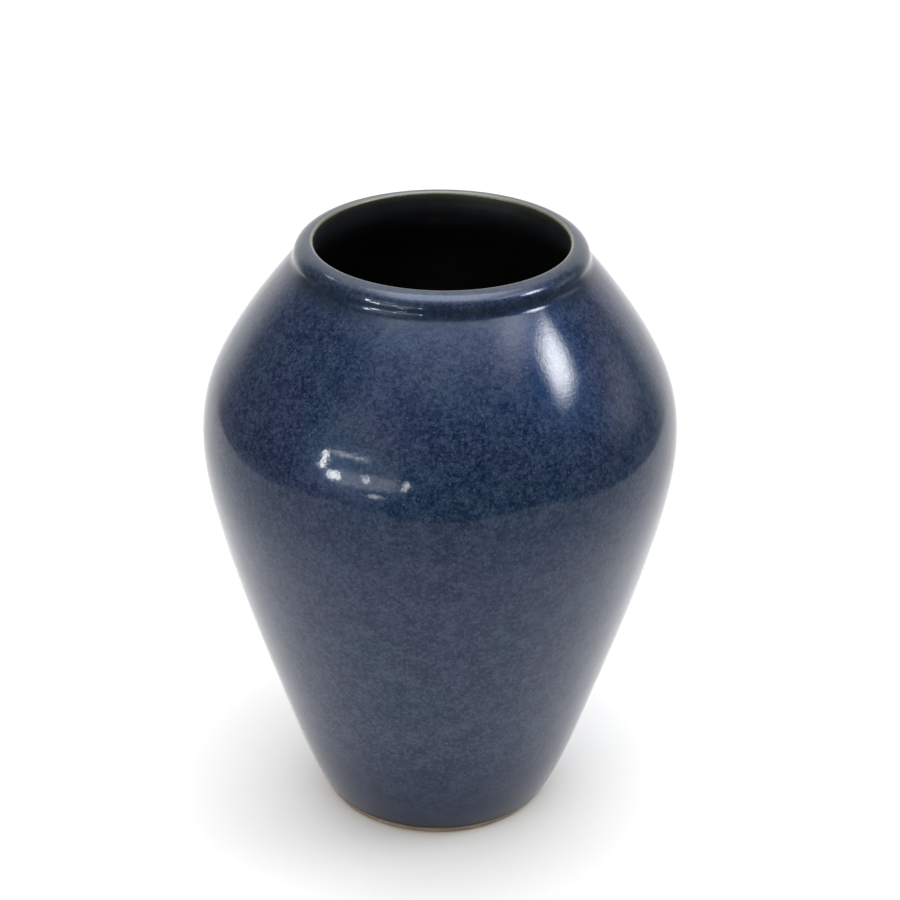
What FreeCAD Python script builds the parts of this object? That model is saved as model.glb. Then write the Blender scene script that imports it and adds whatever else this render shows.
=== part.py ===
"""A round stoneware flower vase: one fired clay body and the coats of glaze on it.

Every piece is turned about the Z axis, so each one is a closed half section in the XZ plane, revolved once.
Sizes are millimetres. The origin is the centre of the foot, on the plane that the vase stands on, and +Z
runs up through the mouth. A slope is in degrees from the vertical, positive where the wall leans outwards
on its way up.
"""
import FreeCAD, Part
import math
import os

from FreeCAD import Vector

# Driving dimensions
HEIGHT = 240.0
BELLY_RADIUS = 92.2
MOUTH_RADIUS = 48.4
WALL = 6.4
GLAZE = 0.5

# The outside of the wall, from the glaze line up to the shoulder: (share of HEIGHT, share of BELLY_RADIUS)
WALL_STATIONS = (
    (0.012, 0.512),
    (0.060, 0.570),
    (0.200, 0.696),
    (0.340, 0.813),
    (0.540, 0.955),
    (0.670, 1.000),
    (0.750, 0.971),
    (0.820, 0.889),
    (0.900, 0.752),
)
LINE_SLOPE = 28.0
SHOULDER_SLOPE = -41.0

# A hollow round turns the shoulder up into the neck, and a full round takes the neck over the lip.
NECK_SLOPE = -5.0
NECK_ROUND = 6.0
LIP_ROUND = 6.2
LIP_EDGE_ROUND = 1.4
THROAT_DEPTH = 4.0
GLAZE_JOIN = 135.0  # where the two coats meet on the lip's inner edge, in degrees round its centre

# The floor inside
FLOOR = 7.0
FLOOR_RADIUS = 32.0
FLOOR_ROUND = 16.0
FLOOR_SLOPE = 21.0

# The foot ring, left bare, and the recess inside it
FOOT_RADIUS = 45.5
FOOT_ROUND = 0.8
FOOT_RING_WIDTH = 7.0
RECESS_DEPTH = 3.2
RECESS_ROUND = 2.0

RECESS_RADIUS = FOOT_RADIUS - FOOT_RING_WIDTH
FLOOR_HEIGHT = RECESS_DEPTH + FLOOR
LIP_RADIUS = MOUTH_RADIUS + LIP_EDGE_ROUND
LIP_CENTRE = Vector(LIP_RADIUS, 0, HEIGHT - LIP_ROUND)
LIP_EDGE_CENTRE = Vector(LIP_RADIUS, 0, HEIGHT - LIP_EDGE_ROUND)


def at(radius, height):
    """The point of a half section at that radius and height."""
    return Vector(radius, 0, height)


def leaning(slope):
    """The upward direction of a wall with that slope."""
    angle = math.radians(slope)
    return at(math.sin(angle), math.cos(angle))


def on_round(centre, radius, angle):
    """The point of a round at that angle above the horizontal."""
    angle = math.radians(angle)
    return centre + at(math.cos(angle), math.sin(angle)) * radius


def line(start, end):
    return Part.LineSegment(start, end).toShape()


def arc(centre, radius, start_angle, end_angle):
    angles = (start_angle, (start_angle + end_angle) / 2, end_angle)
    return Part.Arc(*[on_round(centre, radius, angle) for angle in angles]).toShape()


def curve(points, start_slope, end_slope):
    """A smooth curve up through the points, with those slopes at its two ends."""
    spline = Part.BSplineCurve()
    spline.interpolate(
        Points=points,
        InitialTangent=leaning(start_slope),
        FinalTangent=leaning(end_slope),
    )
    return spline


def neck_centre():
    """The centre of the hollow round, which leaves the lip's round at NECK_SLOPE."""
    return on_round(LIP_CENTRE, LIP_ROUND + NECK_ROUND, -NECK_SLOPE)


def outside_points():
    """The stations of the finished outside, and the foot of the hollow round above them."""
    stations = [at(BELLY_RADIUS * radius, HEIGHT * height) for height, radius in WALL_STATIONS]
    return stations + [on_round(neck_centre(), NECK_ROUND, 180 - SHOULDER_SLOPE)]


def points_at_depth(depth):
    """The same points, each moved square to the outside to that depth in the wall."""
    points = outside_points()
    outside = curve(points, LINE_SLOPE, SHOULDER_SLOPE)
    moved = []
    for point in points:
        along = Vector(outside.tangent(outside.parameter(point))[0])
        moved.append(point + at(-along.z, along.x) * depth)
    return moved


def outer_line(depth):
    """The edges of the outside, from the glaze line up to the glaze join, at that depth in the wall."""
    wall = curve(points_at_depth(depth), LINE_SLOPE, SHOULDER_SLOPE).toShape()
    neck = arc(neck_centre(), NECK_ROUND + depth, 180 - SHOULDER_SLOPE, 180 - NECK_SLOPE)
    lip = arc(LIP_CENTRE, LIP_ROUND - depth, -NECK_SLOPE, 90)
    edge = arc(LIP_EDGE_CENTRE, LIP_EDGE_ROUND - depth, 90, GLAZE_JOIN)
    return [wall, neck, lip, edge]


def inner_line(depth):
    """The edges of the inside, from the glaze join down to the axis, at that depth below the surface.

    The throat takes the place of the highest point, which would follow the hollow of the neck.
    """
    throat_top = at(MOUTH_RADIUS + depth, LIP_EDGE_CENTRE.z)
    throat_end = throat_top - at(0, THROAT_DEPTH)
    corner_centre = at(FLOOR_RADIUS, FLOOR_HEIGHT + FLOOR_ROUND)
    corner_end = on_round(corner_centre, FLOOR_ROUND + depth, -FLOOR_SLOPE)
    wall = [point for point in points_at_depth(WALL - depth) if point.z > corner_centre.z]
    return [
        arc(LIP_EDGE_CENTRE, LIP_EDGE_ROUND - depth, GLAZE_JOIN, 180),
        line(throat_top, throat_end),
        curve([corner_end] + wall[:-1] + [throat_end], FLOOR_SLOPE, 0).toShape(),
        arc(corner_centre, FLOOR_ROUND + depth, -FLOOR_SLOPE, -90),
        line(at(FLOOR_RADIUS, FLOOR_HEIGHT - depth), at(0, FLOOR_HEIGHT - depth)),
    ]


def recess_line(depth):
    """The edges of the recess, from the axis out to its wall, at that depth below the surface."""
    corner_centre = at(RECESS_RADIUS - RECESS_ROUND, RECESS_DEPTH - RECESS_ROUND)
    ceiling = RECESS_DEPTH + depth
    return [
        line(at(0, ceiling), at(corner_centre.x, ceiling)),
        arc(corner_centre, RECESS_ROUND + depth, 90, 0),
    ]


def foot_ring():
    """The edges of the bare foot ring, from the recess round to the glaze line."""
    inner_radius = RECESS_RADIUS + GLAZE
    inner_centre = at(inner_radius + FOOT_ROUND, FOOT_ROUND)
    outer_centre = at(FOOT_RADIUS - FOOT_ROUND, FOOT_ROUND)
    return [
        line(at(inner_radius, RECESS_DEPTH - RECESS_ROUND), at(inner_radius, FOOT_ROUND)),
        arc(inner_centre, FOOT_ROUND, 180, 270),
        line(at(inner_centre.x, 0), at(outer_centre.x, 0)),
        arc(outer_centre, FOOT_ROUND, -90, 0),
        line(at(FOOT_RADIUS, FOOT_ROUND), points_at_depth(GLAZE)[0]),
    ]


def turned(edges):
    """The solid that the closed half section makes when it is turned once about the Z axis."""
    ordered = Part.sortEdges(edges)[0]
    section = Part.Face(Part.Wire(ordered))
    solid = section.revolve(Vector(0, 0, 0), Vector(0, 0, 1), 360)
    if solid.Volume < 0:
        solid.reverse()
    return solid


def coat(line_at_depth):
    """The solid of a coat of glaze, between the finished line and the same line on the clay."""
    surface = line_at_depth(0)
    clay = line_at_depth(GLAZE)
    across_start = line(surface[0].firstVertex(True).Point, clay[0].firstVertex(True).Point)
    across_end = line(surface[-1].lastVertex(True).Point, clay[-1].lastVertex(True).Point)
    return turned(surface + clay + [across_start, across_end])


def clay_body():
    """The fired clay: wall, lip, floor and foot ring in one piece."""
    axis = line(at(0, FLOOR_HEIGHT - GLAZE), at(0, RECESS_DEPTH + GLAZE))
    return turned(outer_line(GLAZE) + inner_line(GLAZE) + [axis] + recess_line(GLAZE) + foot_ring())


def outer_glaze():
    """The blue coat, from the glaze line above the foot up over the lip."""
    return coat(outer_line)


def inner_glaze():
    """The dark coat, from the lip's inner edge down over the floor."""
    return coat(inner_line)


def base_glaze():
    """The coat inside the foot ring, well clear of the plane that the vase stands on."""
    return coat(recess_line)


def main():
    os.makedirs("parts", exist_ok=True)
    for make in (clay_body, outer_glaze, inner_glaze, base_glaze):
        solid = make()
        solid.exportStep(f"parts/{make.__name__}.step")
        box = solid.optimalBoundingBox()
        print(f"{make.__name__}: valid {solid.isValid()}, volume {solid.Volume / 1000:.1f} cm3,", end=" ")
        print(f"radius {box.XMax:.2f}, height from {box.ZMin:.2f} to {box.ZMax:.2f}")


main()
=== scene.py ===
"""The looks of the flower vase: its clay and glazes in detail, a white table, soft studio light and a camera.

Metres, in the frame of the CAD model: the vase stands on z = 0 and turns about the Z axis. A section point is
(radius, height). Every piece is turned from a section line, and then given the small unevenness of a pot made
by hand, always inwards, so that it stays inside the CAD model.
"""

import math
import random

import bpy
import numpy as np
from mathutils import Matrix, Vector

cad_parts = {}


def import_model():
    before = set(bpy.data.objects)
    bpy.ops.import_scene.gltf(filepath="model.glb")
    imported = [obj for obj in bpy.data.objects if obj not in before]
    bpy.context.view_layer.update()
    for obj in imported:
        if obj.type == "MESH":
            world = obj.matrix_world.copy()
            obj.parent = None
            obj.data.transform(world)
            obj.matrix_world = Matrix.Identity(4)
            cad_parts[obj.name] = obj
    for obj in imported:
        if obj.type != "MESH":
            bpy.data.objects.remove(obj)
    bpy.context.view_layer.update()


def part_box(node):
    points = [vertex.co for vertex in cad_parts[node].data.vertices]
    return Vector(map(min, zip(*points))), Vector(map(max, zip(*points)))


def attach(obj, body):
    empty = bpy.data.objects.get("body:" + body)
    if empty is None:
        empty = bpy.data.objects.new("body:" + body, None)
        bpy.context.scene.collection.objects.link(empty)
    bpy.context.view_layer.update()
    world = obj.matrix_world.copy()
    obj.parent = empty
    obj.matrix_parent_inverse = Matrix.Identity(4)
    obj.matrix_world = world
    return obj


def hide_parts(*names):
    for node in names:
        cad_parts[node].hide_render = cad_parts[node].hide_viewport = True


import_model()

MM = 0.001

# The section, as in the CAD model: (share of the height, share of the belly's radius)
WALL_STATIONS = (
    (0.012, 0.512),
    (0.060, 0.570),
    (0.200, 0.696),
    (0.340, 0.813),
    (0.540, 0.955),
    (0.670, 1.000),
    (0.750, 0.971),
    (0.820, 0.889),
    (0.900, 0.752),
)
LINE_SLOPE = 28.0
SHOULDER_SLOPE = -41.0
NECK_SLOPE = -5.0
NECK_ROUND = 6.0 * MM
LIP_ROUND = 6.2 * MM
LIP_EDGE_ROUND = 1.4 * MM
GLAZE_JOIN = 135.0
MOUTH_RADIUS = 48.4 * MM
THROAT_DEPTH = 4.0 * MM
FLOOR_RADIUS = 32.0 * MM
FLOOR_ROUND = 16.0 * MM
FLOOR_SLOPE = 21.0
FOOT_RADIUS = 45.5 * MM
FOOT_ROUND = 0.8 * MM
RECESS_ROUND = 2.0 * MM

# The rest of the section comes from the boxes of the CAD nodes.
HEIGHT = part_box("outer_glaze")[1].z
BELLY_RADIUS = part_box("outer_glaze")[1].x
GLAZE_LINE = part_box("outer_glaze")[0].z
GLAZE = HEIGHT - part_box("clay_body")[1].z
FLOOR_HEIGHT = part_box("inner_glaze")[0].z + GLAZE
WALL = BELLY_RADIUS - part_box("inner_glaze")[1].x + GLAZE
RECESS_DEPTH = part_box("base_glaze")[1].z - GLAZE
RECESS_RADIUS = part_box("base_glaze")[1].x - GLAZE
LIP_RADIUS = MOUTH_RADIUS + LIP_EDGE_ROUND
LIP_EDGE_CENTRE = (LIP_RADIUS, HEIGHT - LIP_EDGE_ROUND)

AROUND = 340  # steps in one turn
TURN = np.linspace(0, 2 * math.pi, AROUND, endpoint=False)[None, :]  # their angles
SHARP_ANGLE = 40.0  # degrees between two faces that meet at a true edge

# How uneven the pot is
WOBBLE = 0.16 * MM  # slow swells round the wall
THROWING = 0.02 * MM  # faint rings that run round it
RIPPLE = 0.007 * MM  # the glaze's own slow waves
ROLL_WIDTH = 0.9 * MM  # the rounded lower edge of the glaze
ROLL_BEAD = 0.12 * MM  # the thicker bead just above it
BEAD_AT = 1.3 * MM
BEAD_WIDTH = 0.8 * MM
RIPPLE_FADE = 6 * MM  # the waves die out this near the coat's edges
LINE_WANDER = 0.30 * MM  # how far the lower edge wanders up and down
WANDER_FADE = 4 * MM  # how fast that dies out up the wall
GRIT = 0.03 * MM  # the tooth of the bare clay

# Stretches of the section lines that have their own spacing of rows
ROLL_STRETCH = 3 * MM
LIP_STRETCH = 19 * MM
THROAT_STRETCH = 12 * MM
FLOOR_STRETCH = 62 * MM
AXIS_GAP = 0.5 * MM  # the last row's distance from the axis, before the pole

# The camera, in heights of the vase and in degrees
CAMERA_DISTANCE = 3.352
CAMERA_HEIGHT = 2.365
CAMERA_PITCH = 27.39
CAMERA_YAW = 0.28
CAMERA_ROLL = 0.68
LENS = 92.5
SENSOR = 36.0

# The table's edges, in metres from the vase
TABLE_LEFT = -0.70
TABLE_RIGHT = 0.60
TABLE_FRONT = -0.66
TABLE_BACK = 1.90
TABLE_TOP = -0.02 * MM  # a hair below the foot, so that no two faces lie in one plane

# The room's light. Azimuth 0 is on the camera's side and grows to the right; radiances are linear.
# Each fade is the pair of values between which one light gives way to the next.
ROOM = (0.10, 0.11, 0.11)
WALL_GLOW = (1.35, 1.25, 1.00)  # the wall round the window
WALL_GLOW_AT = (-42, 14)  # azimuth and elevation
WALL_GLOW_FADE = (0.86, 0.985)  # cosine of the angle from its middle
BACKDROP = (1.05, 1.05, 1.05)
BACKDROP_FADE = (0.54, 0.80)  # cosine of the azimuth from straight behind
CEILING = (2.6, 2.6, 2.6)
CEILING_FADE = (0.58, 0.86)  # sine of the elevation
PLAIN_WHITE = (1.0, 1.0, 1.0)
LAMP_DISTANCE = 6.0
LAMP_AIM = 0.75  # the shoulder, in heights of the vase

# name: (azimuth, elevation, degrees wide, degrees high, turn, soft edge, radiance)
LAMPS = {
    "side_fill": (86, 42, 40, 30, 0, 1.0, 5.5),
    "overhead_softbox": (0, 84, 72, 58, 0, 0.6, 7.6),
    "key_softbox": (79, 32.6, 23.5, 18, 0, 0.9, 44.0),
    "key_spill": (66, 47, 44, 21, 0, 1.0, 7.2),
    "right_wall": (104, 10, 44, 27, 0, 1.0, 1.3),
    "rim_lamp": (-118, 40, 16, 9, 0, 1.0, 11.0),
    "window_strip": (-56, 12.5, 3.6, 11, 0, 0.4, 50.0),
    "window_pane_left": (-49.5, 6, 7, 6, 8, 0.3, 41.0),
    "window_head": (-44, 19, 22, 1.1, 6, 0.5, 27.0),
    "window_glass": (-35, 7, 40, 13, 4, 0.5, 4.2),
    "window_pane_middle": (-34, 9, 4, 5, 20, 0.6, 27.0),
    "window_sill": (-29, -2.5, 10, 1.8, 4, 0.6, 23.0),
    "window_pane_right": (-15, 8, 3, 9, -12, 0.6, 26.0),
}
MATT_LIGHT = "side_fill"  # the one lamp that lights by diffuse light; the others show only in the gloss


# --------------------------------------------------------------------------------------------------
# Section lines: arrays of (radius, height)
# --------------------------------------------------------------------------------------------------

def leaning(slope):
    """The upward direction of a wall that leans outwards by that many degrees."""
    angle = math.radians(slope)
    return np.array([math.sin(angle), math.cos(angle)])


def on_round(centre, radius, angle):
    """The point of a round at that angle above the horizontal."""
    angle = math.radians(angle)
    return np.array([centre[0] + radius * math.cos(angle), centre[1] + radius * math.sin(angle)])


def arc(centre, radius, start, end, steps):
    """The points of a round between two angles."""
    return np.array([on_round(centre, radius, a) for a in np.linspace(start, end, steps + 1)])


def straight(start, end, steps):
    """The points of a straight line."""
    return np.linspace(start, end, steps + 1)


def curve(points, start_slope, end_slope, steps):
    """A smooth cubic curve up through the points, with those slopes at its ends.

    Its direction at each point between makes the curvature the same on the point's two sides.
    """
    points = np.array(points)
    chord = np.linalg.norm(np.diff(points, axis=0), axis=1)
    count = len(points)
    system = np.eye(count)
    right = np.zeros((count, 2))
    right[0] = leaning(start_slope)
    right[-1] = leaning(end_slope)
    for i in range(1, count - 1):
        before, after = chord[i - 1], chord[i]
        system[i, i - 1:i + 2] = (after, 2 * (before + after), before)
        rise = (points[i] - points[i - 1]) / before * after + (points[i + 1] - points[i]) / after * before
        right[i] = 3 * rise
    along = np.linalg.solve(system, right)
    pieces = []
    for i in range(count - 1):
        t = np.linspace(0, 1, steps, endpoint=False)[:, None]
        pieces.append(
            (2 * t**3 - 3 * t**2 + 1) * points[i]
            + (t**3 - 2 * t**2 + t) * chord[i] * along[i]
            + (3 * t**2 - 2 * t**3) * points[i + 1]
            + (t**3 - t**2) * chord[i] * along[i + 1]
        )
    return np.vstack(pieces + [points[-1:]])


def joined(*lines):
    """One line from several that follow on, without the points that they share."""
    return np.vstack([lines[0]] + [line[1:] for line in lines[1:]])


class Line:
    """A section line that can be read at any distance along it, at any depth below it."""

    def __init__(self, points):
        step = np.linalg.norm(np.diff(points, axis=0), axis=1)
        self.points = points
        self.at = np.concatenate([[0.0], np.cumsum(step)])
        self.length = self.at[-1]
        along = np.gradient(points, self.at, axis=0)
        along /= np.linalg.norm(along, axis=1)[:, None]
        self.outward = np.column_stack([along[:, 1], -along[:, 0]])

    def read(self, distance, depth=0.0):
        """Radius and height at that distance along the line, moved into the wall by the depth."""
        radius = np.interp(distance, self.at, self.points[:, 0])
        height = np.interp(distance, self.at, self.points[:, 1])
        out_r = np.interp(distance, self.at, self.outward[:, 0])
        out_z = np.interp(distance, self.at, self.outward[:, 1])
        return radius - out_r * depth, height - out_z * depth


def outside_line():
    """The finished outside, from the glaze line up over the lip to the glaze join."""
    stations = [(BELLY_RADIUS * r, HEIGHT * h) for h, r in WALL_STATIONS]
    lip_centre = (LIP_RADIUS, HEIGHT - LIP_ROUND)
    neck_centre = on_round(lip_centre, LIP_ROUND + NECK_ROUND, -NECK_SLOPE)
    neck_foot = on_round(neck_centre, NECK_ROUND, 180 - SHOULDER_SLOPE)
    return Line(joined(
        curve(stations + [tuple(neck_foot)], LINE_SLOPE, SHOULDER_SLOPE, 300),
        arc(neck_centre, NECK_ROUND, 180 - SHOULDER_SLOPE, 180 - NECK_SLOPE, 60),
        arc(lip_centre, LIP_ROUND, -NECK_SLOPE, 90, 120),
        arc(LIP_EDGE_CENTRE, LIP_EDGE_ROUND, 90, GLAZE_JOIN, 30),
    ))


def inside_line(outside):
    """The finished inside, from the glaze join down the throat and the wall to the middle of the floor."""
    throat_top = (MOUTH_RADIUS, LIP_EDGE_CENTRE[1])
    throat_end = (MOUTH_RADIUS, LIP_EDGE_CENTRE[1] - THROAT_DEPTH)
    corner_centre = (FLOOR_RADIUS, FLOOR_HEIGHT + FLOOR_ROUND)
    corner_end = on_round(corner_centre, FLOOR_ROUND, -FLOOR_SLOPE)
    heights = [HEIGHT * h for h, _ in WALL_STATIONS]
    top = outside.points[:, 1].argmax()
    distances = np.interp(heights, outside.points[:top, 1], outside.at[:top])
    wall = [outside.read(distance, WALL) for distance in distances]
    wall = [point for point in wall if point[1] > corner_centre[1]]
    down = curve([tuple(corner_end)] + wall + [throat_end], FLOOR_SLOPE, 0, 200)[::-1]
    return Line(joined(
        arc(LIP_EDGE_CENTRE, LIP_EDGE_ROUND, GLAZE_JOIN, 180, 30),
        straight(throat_top, throat_end, 40),
        down,
        arc(corner_centre, FLOOR_ROUND, -FLOOR_SLOPE, -90, 60),
        straight((FLOOR_RADIUS, FLOOR_HEIGHT), (0, FLOOR_HEIGHT), 60),
    ))


def recess_line():
    """The finished recess under the base, from the axis out to the foot ring."""
    centre = (RECESS_RADIUS - RECESS_ROUND, RECESS_DEPTH - RECESS_ROUND)
    return Line(joined(
        straight((0, RECESS_DEPTH), (centre[0], RECESS_DEPTH), 60),
        arc(centre, RECESS_ROUND, 90, 0, 24),
    ))


def foot_line(outside):
    """The bare foot ring, from the edge of the recess glaze round to the clay at the glaze line."""
    inner = RECESS_RADIUS + GLAZE
    return Line(joined(
        straight((inner, RECESS_DEPTH - RECESS_ROUND), (inner, FOOT_ROUND), 6),
        arc((inner + FOOT_ROUND, FOOT_ROUND), FOOT_ROUND, 180, 270, 10),
        straight((inner + FOOT_ROUND, 0), (FOOT_RADIUS - FOOT_ROUND, 0), 20),
        arc((FOOT_RADIUS - FOOT_ROUND, FOOT_ROUND), FOOT_ROUND, -90, 0, 10),
        straight((FOOT_RADIUS, FOOT_ROUND), outside.read(0.0, GLAZE), 12),
    ))


# --------------------------------------------------------------------------------------------------
# Unevenness
# --------------------------------------------------------------------------------------------------

def waves(seed, count, turns, length, theta, height):
    """A smooth random field, about -1 to 1, of waves.

    Each wave has up to that many turns round the axis, and at least that length up it.
    """
    draw = random.Random(seed)
    field = np.zeros(np.broadcast(theta, height).shape)
    for _ in range(count):
        around = draw.randint(1, turns)
        upward = draw.uniform(-2, 2) * math.pi / length
        start = draw.uniform(0, 2 * math.pi)
        field += np.cos(around * theta + upward * height + start)
    return field / math.sqrt(2 * count)


def wobble(theta, height):
    """How far the clay lies inside its true round, in metres."""
    swell = waves(seed=3, count=6, turns=3, length=0.30, theta=theta, height=height)
    rings = waves(seed=5, count=5, turns=1, length=0.011, theta=theta, height=height)
    return WOBBLE * (1 + 0.45 * swell.clip(-2, 2)) + THROWING * rings.clip(-2, 2)


def turned_rows(radius, height):
    """The rings of points that a section makes: radius and height are one number a row, or one a point."""
    radius = np.asarray(radius)
    height = np.asarray(height)
    if radius.ndim == 1:
        radius = radius[:, None] + 0 * TURN
        height = height[:, None] + 0 * TURN
    shrink = wobble(TURN, height) * np.minimum(1, radius / FLOOR_RADIUS)
    radius = np.maximum(radius - shrink, 0)
    return np.stack([radius * np.cos(TURN), radius * np.sin(TURN), height], axis=-1)


# --------------------------------------------------------------------------------------------------
# Meshes
# --------------------------------------------------------------------------------------------------

def placed(name, data):
    """A new object with that data, in the scene."""
    thing = bpy.data.objects.new(name, data)
    bpy.context.collection.objects.link(thing)
    return thing


def pole_faces(grid, first, last):
    """The triangles that join the two end rings to their points on the axis."""
    faces = []
    for i in range(AROUND):
        j = (i + 1) % AROUND
        faces.append([first, int(grid[0, j]), int(grid[0, i])])
        faces.append([last, int(grid[-1, i]), int(grid[-1, j])])
    return faces


def lathe(name, rows, poles=False):
    """A closed solid from rings of points. With poles, its two end rings shrink to points on the axis."""
    count = len(rows)
    points = rows.reshape(-1, 3)
    grid = np.arange(count * AROUND).reshape(count, AROUND)
    lower = grid if not poles else grid[:-1]
    upper = np.roll(grid, -1, axis=0) if not poles else grid[1:]
    quads = np.stack([lower, np.roll(lower, -1, axis=1), np.roll(upper, -1, axis=1), upper], axis=-1)
    faces = quads.reshape(-1, 4).tolist()
    if poles:
        faces += pole_faces(grid, len(points), len(points) + 1)
        ends = [(0, 0, float(rows[i, :, 2].mean())) for i in (0, -1)]
        points = np.vstack([points, ends])
    mesh = bpy.data.meshes.new(name)
    mesh.from_pydata(points.tolist(), [], faces)
    mesh.update()
    make_solid(mesh)
    return placed(name, mesh)


def make_solid(mesh):
    """Turns the faces outwards, and shades them smooth but for the true edges."""
    volume = 0.0
    for face in mesh.polygons:
        volume += face.center.dot(face.normal) * face.area
    if volume < 0:
        mesh.flip_normals()
    mesh.shade_smooth()
    mesh.set_sharp_from_angle(angle=math.radians(SHARP_ANGLE))


def spaced(*stretches):
    """Distances along a line: each stretch is (start, end, how many rows), and the last one is closed."""
    parts = [np.linspace(a, b, n, endpoint=False) for a, b, n in stretches]
    return np.concatenate(parts + [[stretches[-1][1]]])


def coat_relief(front, end):
    """How far the blue coat stands out from the clay, and the slow waves in that, at each row and step."""
    roll = np.sqrt(1 - (1 - (front / ROLL_WIDTH).clip(0, 1)) ** 2)
    bead = ROLL_BEAD * np.exp(-((front - BEAD_AT) / BEAD_WIDTH) ** 2)
    thickness = (GLAZE * roll + bead)[:, None]
    fade = np.minimum(front / RIPPLE_FADE, (end - front) / RIPPLE_FADE).clip(0, 1)[:, None]
    field = waves(seed=17, count=60, turns=60, length=0.012, theta=TURN, height=front[:, None])
    ripple = RIPPLE * (field.clip(-2.5, 2.5) - 2.5) * fade
    return thickness, ripple


def outside_glaze(outside):
    """The blue coat: its lower edge is a rounded roll that wanders, and its surface ripples a little."""
    end = outside.length
    lip = end - LIP_STRETCH
    edge = end - 2 * MM
    front = spaced((0, ROLL_STRETCH, 20), (ROLL_STRETCH, lip, 142), (lip, edge, 36), (edge, end, 10))
    back = spaced((end, lip, 22), (lip, ROLL_STRETCH, 30), (ROLL_STRETCH, 0, 6))
    field = waves(seed=11, count=14, turns=26, length=1.0, theta=TURN, height=0.0)
    wander = LINE_WANDER * (field + 1.2).clip(0, 3)

    thickness, ripple = coat_relief(front, end)
    distance = front[:, None] + wander * np.exp(-front[:, None] / WANDER_FADE)
    front_rows = turned_rows(*outside.read(distance, GLAZE - thickness - ripple))
    distance = back[:, None] + wander * np.exp(-back[:, None] / WANDER_FADE)
    back_rows = turned_rows(*outside.read(distance, GLAZE))
    return lathe("glaze_outside", np.concatenate([front_rows, back_rows[:-1]]))


def inside_glaze(inside):
    """The dark coat, from the lip's edge down the inside and over the floor."""
    axis = inside.length - AXIS_GAP
    floor = inside.length - FLOOR_STRETCH
    edge = 1.2 * MM
    front = spaced((0, edge, 8), (edge, THROAT_STRETCH, 16), (THROAT_STRETCH, floor, 84), (floor, axis, 24))
    back = spaced((axis, THROAT_STRETCH, 40), (THROAT_STRETCH, 0, 12))
    front_rows = turned_rows(*inside.read(front))
    back_rows = turned_rows(*inside.read(back, GLAZE))
    rows = np.concatenate([front_rows[::-1], back_rows[::-1]])
    return lathe("glaze_inside", rows, poles=True)


def base_coat(recess):
    """The coat in the recess, whose edge stops short of the foot ring's inner corner."""
    corner = recess.length - 4 * MM
    front = spaced((AXIS_GAP, corner, 20), (corner, recess.length, 16))
    front_rows = turned_rows(*recess.read(front))
    back_rows = turned_rows(*recess.read(front[::-1], GLAZE))
    return lathe("glaze_base", np.concatenate([front_rows, back_rows]), poles=True)


def clay(outside, inside, recess, foot):
    """The fired body under the glazes. It shows at the foot ring, so that is where it has its grit."""
    above_edge = 4 * MM
    axis = inside.length - AXIS_GAP
    under = recess.read(spaced((AXIS_GAP, recess.length, 24)), GLAZE)
    ring = foot.read(spaced((0, foot.length, 56)))
    up = outside.read(spaced((0, above_edge, 14), (above_edge, outside.length, 80)), GLAZE)
    down = inside.read(spaced((0, THROAT_STRETCH, 14), (THROAT_STRETCH, axis, 70)), GLAZE)
    line = joined(*[np.column_stack(part) for part in (under, ring, up, down)])
    rows = turned_rows(line[:, 0], line[:, 1])
    draw = np.random.default_rng(23)
    rough = draw.uniform(-1, 1, rows.shape[:2])
    rough = (rough + np.roll(rough, 1, axis=1) + np.roll(rough, 1, axis=0)) / 3
    bare = (line[:, 1] < GLAZE_LINE) & (line[:, 0] > RECESS_RADIUS)
    inward = np.where(bare, GRIT, 0)[:, None] * (1 + rough)
    scale = 1 - inward / np.maximum(line[:, 0], MM)[:, None]
    rows[:, :, :2] *= scale[:, :, None]
    return lathe("clay_and_foot", rows, poles=True)


# --------------------------------------------------------------------------------------------------
# Shader nodes
# --------------------------------------------------------------------------------------------------

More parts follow.
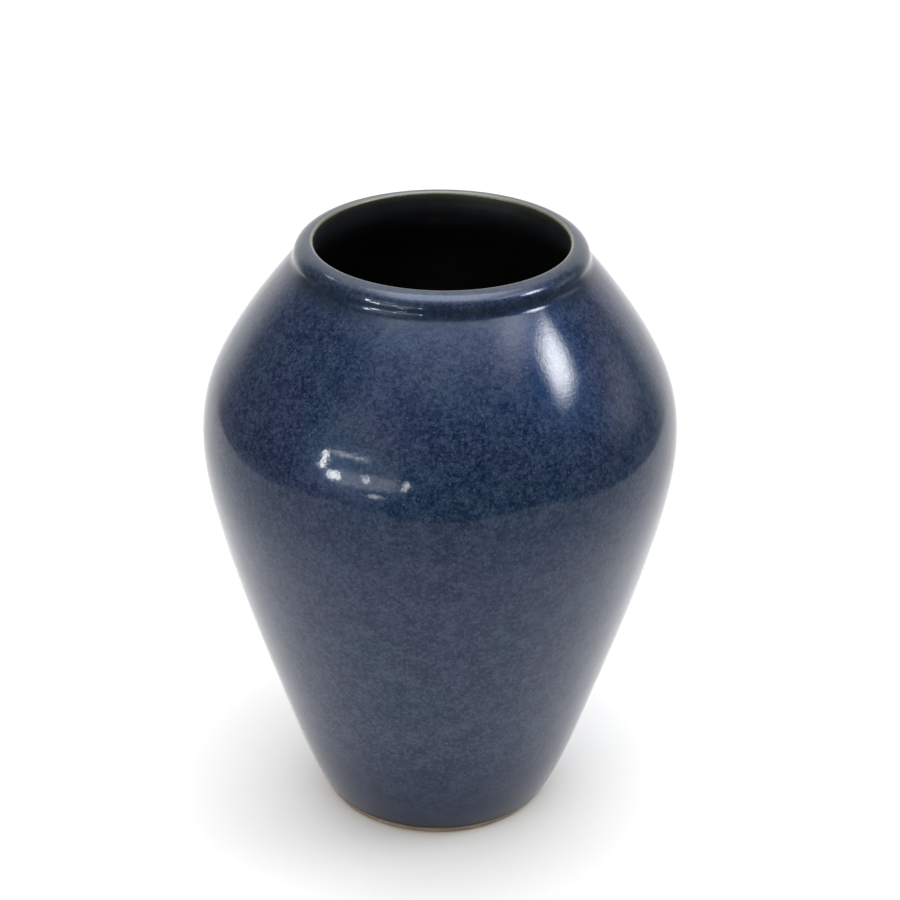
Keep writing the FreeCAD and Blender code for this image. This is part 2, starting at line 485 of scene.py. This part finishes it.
class Nodes:
    """A node tree, with a short call for each kind of node that is used here."""

    def __init__(self, owner, place=None):
        owner.use_nodes = True
        self.tree = owner.node_tree
        self.tree.nodes.clear()
        if place is not None:
            self.place = self.add("ShaderNodeTexCoord").outputs[place]

    def add(self, kind):
        """A new node of that kind."""
        return self.tree.nodes.new(kind)

    def feed(self, value, socket):
        """Links an output to the socket, or sets the socket to a number, a vector or a colour."""
        if isinstance(value, bpy.types.NodeSocket):
            self.tree.links.new(value, socket)
        else:
            socket.default_value = value

    def noise(self, size, detail=2.0, rough=0.5):
        """A noise from 0 to 1 whose largest features are about that size in metres."""
        node = self.add("ShaderNodeTexNoise")
        self.feed(self.place, node.inputs["Vector"])
        self.feed(1 / size, node.inputs["Scale"])
        self.feed(detail, node.inputs["Detail"])
        self.feed(rough, node.inputs["Roughness"])
        return node.outputs["Fac"]

    def cells(self, size):
        """Cells of about that size in metres: the distance from the cell's middle, and its random colour."""
        node = self.add("ShaderNodeTexVoronoi")
        self.feed(self.place, node.inputs["Vector"])
        self.feed(1 / size, node.inputs["Scale"])
        return node.outputs["Distance"], node.outputs["Color"]

    def maths(self, operation, first, second=0.0):
        """The result of the operation on one or two numbers."""
        node = self.add("ShaderNodeMath")
        node.operation = operation
        self.feed(first, node.inputs[0])
        self.feed(second, node.inputs[1])
        return node.outputs["Value"]

    def ramp(self, value, low, high, bottom=0.0, top=1.0):
        """A smooth step: bottom where the value is at low or beyond, top where it is at high or beyond."""
        node = self.add("ShaderNodeMapRange")
        node.interpolation_type = "SMOOTHSTEP"
        self.feed(value, node.inputs["Value"])
        self.feed(low, node.inputs["From Min"])
        self.feed(high, node.inputs["From Max"])
        self.feed(bottom, node.inputs["To Min"])
        self.feed(top, node.inputs["To Max"])
        return node.outputs["Result"]

    def product(self, *shares):
        """All the shares multiplied together."""
        result = shares[0]
        for share in shares[1:]:
            result = self.maths("MULTIPLY", result, share)
        return result

    def mix(self, share, first, second):
        """The first colour, with the second in that share."""
        node = self.add("ShaderNodeMix")
        node.data_type = "RGBA"
        self.feed(share, node.inputs[0])
        self.feed(first, node.inputs[6])
        self.feed(second, node.inputs[7])
        return node.outputs[2]

    def split(self, vector):
        """The vector's three parts."""
        node = self.add("ShaderNodeSeparateXYZ")
        self.feed(vector, node.inputs[0])
        return node.outputs

    def length(self, first, second):
        """The length of the vector with these two parts."""
        return self.maths("SQRT", self.maths("ADD", self.product(first, first), self.product(second, second)))

    def bump(self, height, distance, under=None):
        """A normal for a relief with that pattern and depth, on top of another normal if one is given."""
        node = self.add("ShaderNodeBump")
        self.feed(distance, node.inputs["Distance"])
        self.feed(height, node.inputs["Height"])
        if under is not None:
            self.feed(under, node.inputs["Normal"])
        return node.outputs["Normal"]


class Surface(Nodes):
    """A material with one Principled shader. Its patterns are placed by Object coordinates, in metres."""

    def __init__(self, name):
        self.material = bpy.data.materials.new(name)
        super().__init__(self.material, "Object")
        self.shader = self.add("ShaderNodeBsdfPrincipled")
        self.feed(self.shader.outputs["BSDF"], self.add("ShaderNodeOutputMaterial").inputs["Surface"])

    def set(self, **values):
        """Feeds the shader's sockets by name: Coat_Weight is "Coat Weight"."""
        for name, value in values.items():
            self.feed(value, self.shader.inputs[name.replace("_", " ")])

    def radius_and_height(self):
        """The distance from the vase's axis, and the height above the table."""
        x, y, z = self.split(self.place)
        return self.length(x, y), z

    def from_join(self):
        """The distance from the line on the lip where the two coats meet."""
        radius, height = self.radius_and_height()
        join = on_round(LIP_EDGE_CENTRE, LIP_EDGE_ROUND, GLAZE_JOIN)
        across = self.maths("SUBTRACT", radius, float(join[0]))
        up = self.maths("SUBTRACT", height, float(join[1]))
        return self.length(across, up)

    def shaken(self, value, grain, amount):
        """The value, moved up or down by the grain, to make a line ragged."""
        return self.maths("ADD", value, self.ramp(grain, 0.3, 0.7, -amount, amount))


def colour(red, green, blue):
    """A linear colour, as a shader socket takes it."""
    return (red, green, blue, 1.0)


# --------------------------------------------------------------------------------------------------
# Materials
# --------------------------------------------------------------------------------------------------

OLIVE = colour(0.165, 0.170, 0.130)


def speckle(glaze, height, cloud, grain):
    """The deep blue with its paler specks of about a millimetre, which are crisper low on the wall."""
    drift = glaze.ramp(glaze.noise(34 * MM, 3.0, 0.6), 0.32, 0.68)
    deep = glaze.mix(drift, colour(0.0010, 0.0095, 0.0320), colour(0.0035, 0.0080, 0.0330))
    pale = glaze.mix(drift, colour(0.0370, 0.0600, 0.1030), colour(0.0470, 0.0565, 0.1060))
    crowded = glaze.maths("ADD", grain, glaze.ramp(cloud, 0.3, 0.7, -0.04, 0.04))
    sharper = glaze.ramp(height, 175 * MM, 100 * MM, 0.0, 0.05)
    low = glaze.maths("ADD", sharper, 0.33)
    high = glaze.maths("SUBTRACT", 0.69, sharper)
    mottle = glaze.ramp(crowded, low, high)
    body = glaze.mix(mottle, deep, pale)

    distance, chance = glaze.cells(1.4 * MM)
    fleck = glaze.product(glaze.ramp(distance, 0.40, 0.12), glaze.ramp(chance, 0.60, 0.78), 0.7)
    body = glaze.mix(fleck, body, colour(0.070, 0.095, 0.140))

    # Painted shade: the blue darkens towards the foot, for the dimmer light low on the wall near the table.
    painted_shade_low = glaze.mix(mottle, colour(0.0000, 0.0020, 0.0160), colour(0.0050, 0.0150, 0.0540))
    return glaze.mix(glaze.ramp(height, 58 * MM, 5 * MM, 0.0, 0.95), body, painted_shade_low)


def pooled_shaded_and_thinned(glaze, body, height, cloud, grain):
    """The colour where the coat lies thick in the neck, where a painted shade darkens it just above the foot,
    and where its edges are thin.
    """
    above_shoulder = glaze.ramp(height, 227 * MM, 231 * MM)
    below_lip = glaze.ramp(height, 238 * MM, 234 * MM)
    in_neck = glaze.product(above_shoulder, below_lip, 0.6)
    body = glaze.mix(in_neck, body, colour(0.0120, 0.0200, 0.0290))

    above_foot = glaze.shaken(glaze.maths("SUBTRACT", height, GLAZE_LINE), cloud, 0.6 * MM)
    # Painted shade: the coat darkens over the last few millimetres above the foot, where the table's shade
    # falls.
    painted_shade_by_foot = glaze.ramp(above_foot, 7.0 * MM, 0.5 * MM, 0.0, 0.7)
    body = glaze.mix(painted_shade_by_foot, body, colour(0.0020, 0.0040, 0.0140))
    body = glaze.mix(glaze.ramp(above_foot, 1.8 * MM, 0.5 * MM), body, colour(0.020, 0.012, 0.008))

    from_join = glaze.shaken(glaze.from_join(), grain, 0.12 * MM)
    over_lip = glaze.ramp(from_join, 9.0 * MM, 2.5 * MM, 0.0, 0.5)
    body = glaze.mix(over_lip, body, colour(0.040, 0.046, 0.046))
    return glaze.mix(glaze.ramp(from_join, 1.00 * MM, 0.35 * MM), body, OLIVE)


def blue_glaze_material():
    """Deep speckled blue under a clear gloss, brown at the foot and olive at the lip's inner edge."""
    glaze = Surface("blue_speckled_glaze")
    _, height = glaze.radius_and_height()
    cloud = glaze.noise(8 * MM, 2.0, 0.6)
    grain = glaze.noise(1.85 * MM, 3.0, 1.0)
    body = speckle(glaze, height, cloud, grain)
    body = pooled_shaded_and_thinned(glaze, body, height, cloud, grain)
    peel = glaze.bump(glaze.noise(3.0 * MM, 1.5, 0.5), 0.022 * MM)
    skin = glaze.bump(glaze.noise(1.1 * MM, 2.0, 0.6), 0.022 * MM, under=peel)
    glaze.set(
        Base_Color=body,
        Roughness=glaze.ramp(grain, 0.3, 0.7, 0.30, 0.42),
        Specular_IOR_Level=0.15,
        Specular_Tint=colour(0.02, 0.30, 1.0),
        Coat_Weight=0.82,
        Coat_IOR=1.32,
        Coat_Roughness=0.05,
        Normal=skin,
        Coat_Normal=skin,
    )
    return glaze.material


def liner_glaze_material():
    """Nearly black, with an olive rim where it thins over the lip's edge."""
    liner = Surface("dark_liner_glaze")
    cloud = liner.noise(9 * MM, 3.0, 0.55)
    grain = liner.noise(1.2 * MM, 2.0, 0.6)
    dark = liner.mix(liner.ramp(cloud, 0.35, 0.7), colour(0.013, 0.015, 0.020), colour(0.018, 0.021, 0.028))
    dark = liner.mix(liner.ramp(grain, 0.50, 0.80, 0.0, 0.2), dark, colour(0.026, 0.032, 0.038))
    from_join = liner.shaken(liner.from_join(), grain, 0.15 * MM)
    dark = liner.mix(liner.ramp(from_join, 3.4 * MM, 0.8 * MM), dark, colour(0.050, 0.055, 0.032))
    dark = liner.mix(liner.ramp(from_join, 0.90 * MM, 0.35 * MM), dark, OLIVE)
    liner.set(
        Base_Color=dark,
        Roughness=liner.ramp(grain, 0.3, 0.7, 0.30, 0.40),
        Normal=liner.bump(liner.noise(3.0 * MM, 2.0, 0.5), 0.03 * MM),
    )
    return liner.material


def bare_clay_material():
    """Unglazed buff stoneware: grog, dark iron specks, and a foot ring rubbed paler where it stands."""
    clay = Surface("bare_stoneware")
    cloud = clay.noise(7 * MM, 3.0, 0.6)
    grain = clay.noise(0.5 * MM, 3.0, 0.65)
    distance, chance = clay.cells(1.6 * MM)
    _, height = clay.radius_and_height()
    body = clay.mix(clay.ramp(cloud, 0.3, 0.7), colour(0.27, 0.20, 0.135), colour(0.38, 0.29, 0.21))
    body = clay.mix(clay.ramp(grain, 0.45, 0.75, 0.0, 0.55), body, colour(0.47, 0.38, 0.29))
    iron = clay.product(clay.ramp(distance, 0.34, 0.14), clay.ramp(chance, 0.66, 0.74), 0.8)
    body = clay.mix(iron, body, colour(0.06, 0.04, 0.025))
    body = clay.mix(clay.ramp(height, 0.5 * MM, 0.05 * MM, 0.0, 0.5), body, colour(0.52, 0.45, 0.37))
    toasted = clay.ramp(height, GLAZE_LINE - 0.9 * MM, GLAZE_LINE + 0.3 * MM, 0.0, 0.85)
    body = clay.mix(toasted, body, colour(0.10, 0.055, 0.030))
    clay.set(
        Base_Color=body,
        Roughness=clay.ramp(grain, 0.3, 0.7, 0.78, 0.95),
        Specular_IOR_Level=0.3,
        Normal=clay.bump(grain, 0.12 * MM),
    )
    return clay.material


def table_material():
    """A plain pale board with a very faint cloudiness, whiter round the vase and greyer away from it: a
    painted pool of light.
    """
    board = Surface("pale_board")
    tone = board.ramp(board.noise(0.25, 2.0, 0.5), 0.3, 0.7)
    radius, _ = board.radius_and_height()
    white = board.mix(tone, colour(0.885, 0.885, 0.885), colour(0.900, 0.900, 0.900))
    board.set(
        # Painted light: whiter near the vase and greyer farther out, a pool of light painted round it.
        Base_Color=board.mix(board.ramp(radius, 0.14, 0.40), white, colour(0.720, 0.720, 0.720)),
        Roughness=0.7,
        Specular_IOR_Level=0.2,
    )
    return board.material


# --------------------------------------------------------------------------------------------------
# The studio
# --------------------------------------------------------------------------------------------------

def table():
    """A pale board. Its edges are where the dim room begins in the reflections."""
    mesh = bpy.data.meshes.new("table")
    corners = [(x, y, TABLE_TOP) for y in (TABLE_FRONT, TABLE_BACK) for x in (TABLE_LEFT, TABLE_RIGHT)]
    mesh.from_pydata(corners, [], [(0, 1, 3, 2)])
    mesh.materials.append(table_material())
    placed("table", mesh)


def direction(azimuth, elevation):
    """A unit direction: azimuth 0 is towards the camera's side, and grows to the right."""
    a, e = math.radians(azimuth), math.radians(elevation)
    return Vector((math.sin(a) * math.cos(e), -math.cos(a) * math.cos(e), math.sin(e)))


def fading_glow(light, soft):
    """Makes an area light fade towards its edges: soft is the share of its half width that the fade takes."""
    nodes = Nodes(light)
    across, up, _ = nodes.split(nodes.add("ShaderNodeNewGeometry").outputs["Parametric"])
    fades = []
    for place in (across, up):
        off_centre = nodes.maths("ABSOLUTE", nodes.maths("SUBTRACT", place, 0.5))
        fades.append(nodes.ramp(off_centre, 0.5, 0.5 * (1 - soft)))
    glow = nodes.add("ShaderNodeEmission")
    nodes.feed(nodes.product(*fades), glow.inputs["Strength"])
    nodes.feed(glow.outputs[0], nodes.add("ShaderNodeOutputLight").inputs["Surface"])


def lamp(name, azimuth, elevation, wide, high, turn, soft, radiance):
    """A rectangular light that faces the shoulder of the vase and fades towards its edges."""
    light = bpy.data.lights.new(name, "AREA")
    light.shape = "RECTANGLE"
    light.size = 2 * LAMP_DISTANCE * math.tan(math.radians(wide) / 2)
    light.size_y = 2 * LAMP_DISTANCE * math.tan(math.radians(high) / 2)
    light.energy = radiance * math.pi * light.size * light.size_y
    fading_glow(light, soft)

    stand = placed(name, light)
    towards = direction(azimuth, elevation)
    facing = towards.to_track_quat("Z", "Y").to_matrix() @ Matrix.Rotation(math.radians(turn), 3, "Z")
    stand.rotation_euler = facing.to_euler()
    stand.location = Vector((0, 0, LAMP_AIM * HEIGHT)) + towards * LAMP_DISTANCE
    stand.visible_camera = False
    stand.visible_diffuse = name == MATT_LIGHT
    stand.visible_glossy = name != MATT_LIGHT


def world():
    """A dim room with a glow round its window, a white backdrop and a bright ceiling.

    The camera itself sees plain white.
    """
    studio = bpy.data.worlds.new("studio")
    bpy.context.scene.world = studio
    nodes = Nodes(studio, "Generated")
    x, y, z = nodes.split(nodes.place)

    glow = nodes.add("ShaderNodeVectorMath")
    glow.operation = "DOT_PRODUCT"
    nodes.feed(nodes.place, glow.inputs[0])
    nodes.feed(direction(*WALL_GLOW_AT), glow.inputs[1])
    by_window = nodes.ramp(glow.outputs["Value"], *WALL_GLOW_FADE)
    light = nodes.mix(by_window, colour(*ROOM), colour(*WALL_GLOW))

    backwards = nodes.maths("DIVIDE", y, nodes.length(x, y))
    light = nodes.mix(nodes.ramp(backwards, *BACKDROP_FADE), light, colour(*BACKDROP))
    light = nodes.mix(nodes.ramp(z, *CEILING_FADE), light, colour(*CEILING))

    seen = nodes.add("ShaderNodeLightPath").outputs["Is Camera Ray"]
    background = nodes.add("ShaderNodeBackground")
    nodes.feed(nodes.mix(seen, light, colour(*PLAIN_WHITE)), background.inputs["Color"])
    nodes.feed(background.outputs[0], nodes.add("ShaderNodeOutputWorld").inputs["Surface"])


def camera():
    """The photograph's camera: a long lens above the vase, looking down at it, very slightly rolled."""
    data = bpy.data.cameras.new("camera")
    data.lens = LENS
    data.sensor_width = SENSOR
    view = placed("camera", data)
    pitch, yaw, roll = (math.radians(angle) for angle in (CAMERA_PITCH, CAMERA_YAW, CAMERA_ROLL))
    ahead = Vector((math.sin(yaw) * math.cos(pitch), math.cos(yaw) * math.cos(pitch), -math.sin(pitch)))
    level = Vector((math.cos(yaw), -math.sin(yaw), 0))
    above = level.cross(ahead)
    right = level * math.cos(roll) + above * math.sin(roll)
    up = above * math.cos(roll) - level * math.sin(roll)
    turn = Matrix((right, up, -ahead)).transposed().to_4x4()
    view.matrix_world = Matrix.Translation((0, -CAMERA_DISTANCE * HEIGHT, CAMERA_HEIGHT * HEIGHT)) @ turn
    bpy.context.scene.camera = view


# --------------------------------------------------------------------------------------------------
# The whole scene
# --------------------------------------------------------------------------------------------------

def put(piece, node, material):
    """Gives a piece its material, hangs it under the root body, and hides the CAD node that it stands for."""
    piece.data.materials.append(material)
    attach(piece, "root")
    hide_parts(node)


def vase():
    """The four pieces of the vase, each in the place of its CAD node."""
    outside = outside_line()
    inside = inside_line(outside)
    recess = recess_line()
    blue = blue_glaze_material()
    put(outside_glaze(outside), "outer_glaze", blue)
    put(inside_glaze(inside), "inner_glaze", liner_glaze_material())
    put(base_coat(recess), "base_glaze", blue)
    put(clay(outside, inside, recess, foot_line(outside)), "clay_body", bare_clay_material())


camera()
world()
for lamp_name, settings in LAMPS.items():
    lamp(lamp_name, *settings)
table()
vase()
bpy.context.scene.view_settings.view_transform = "Standard"
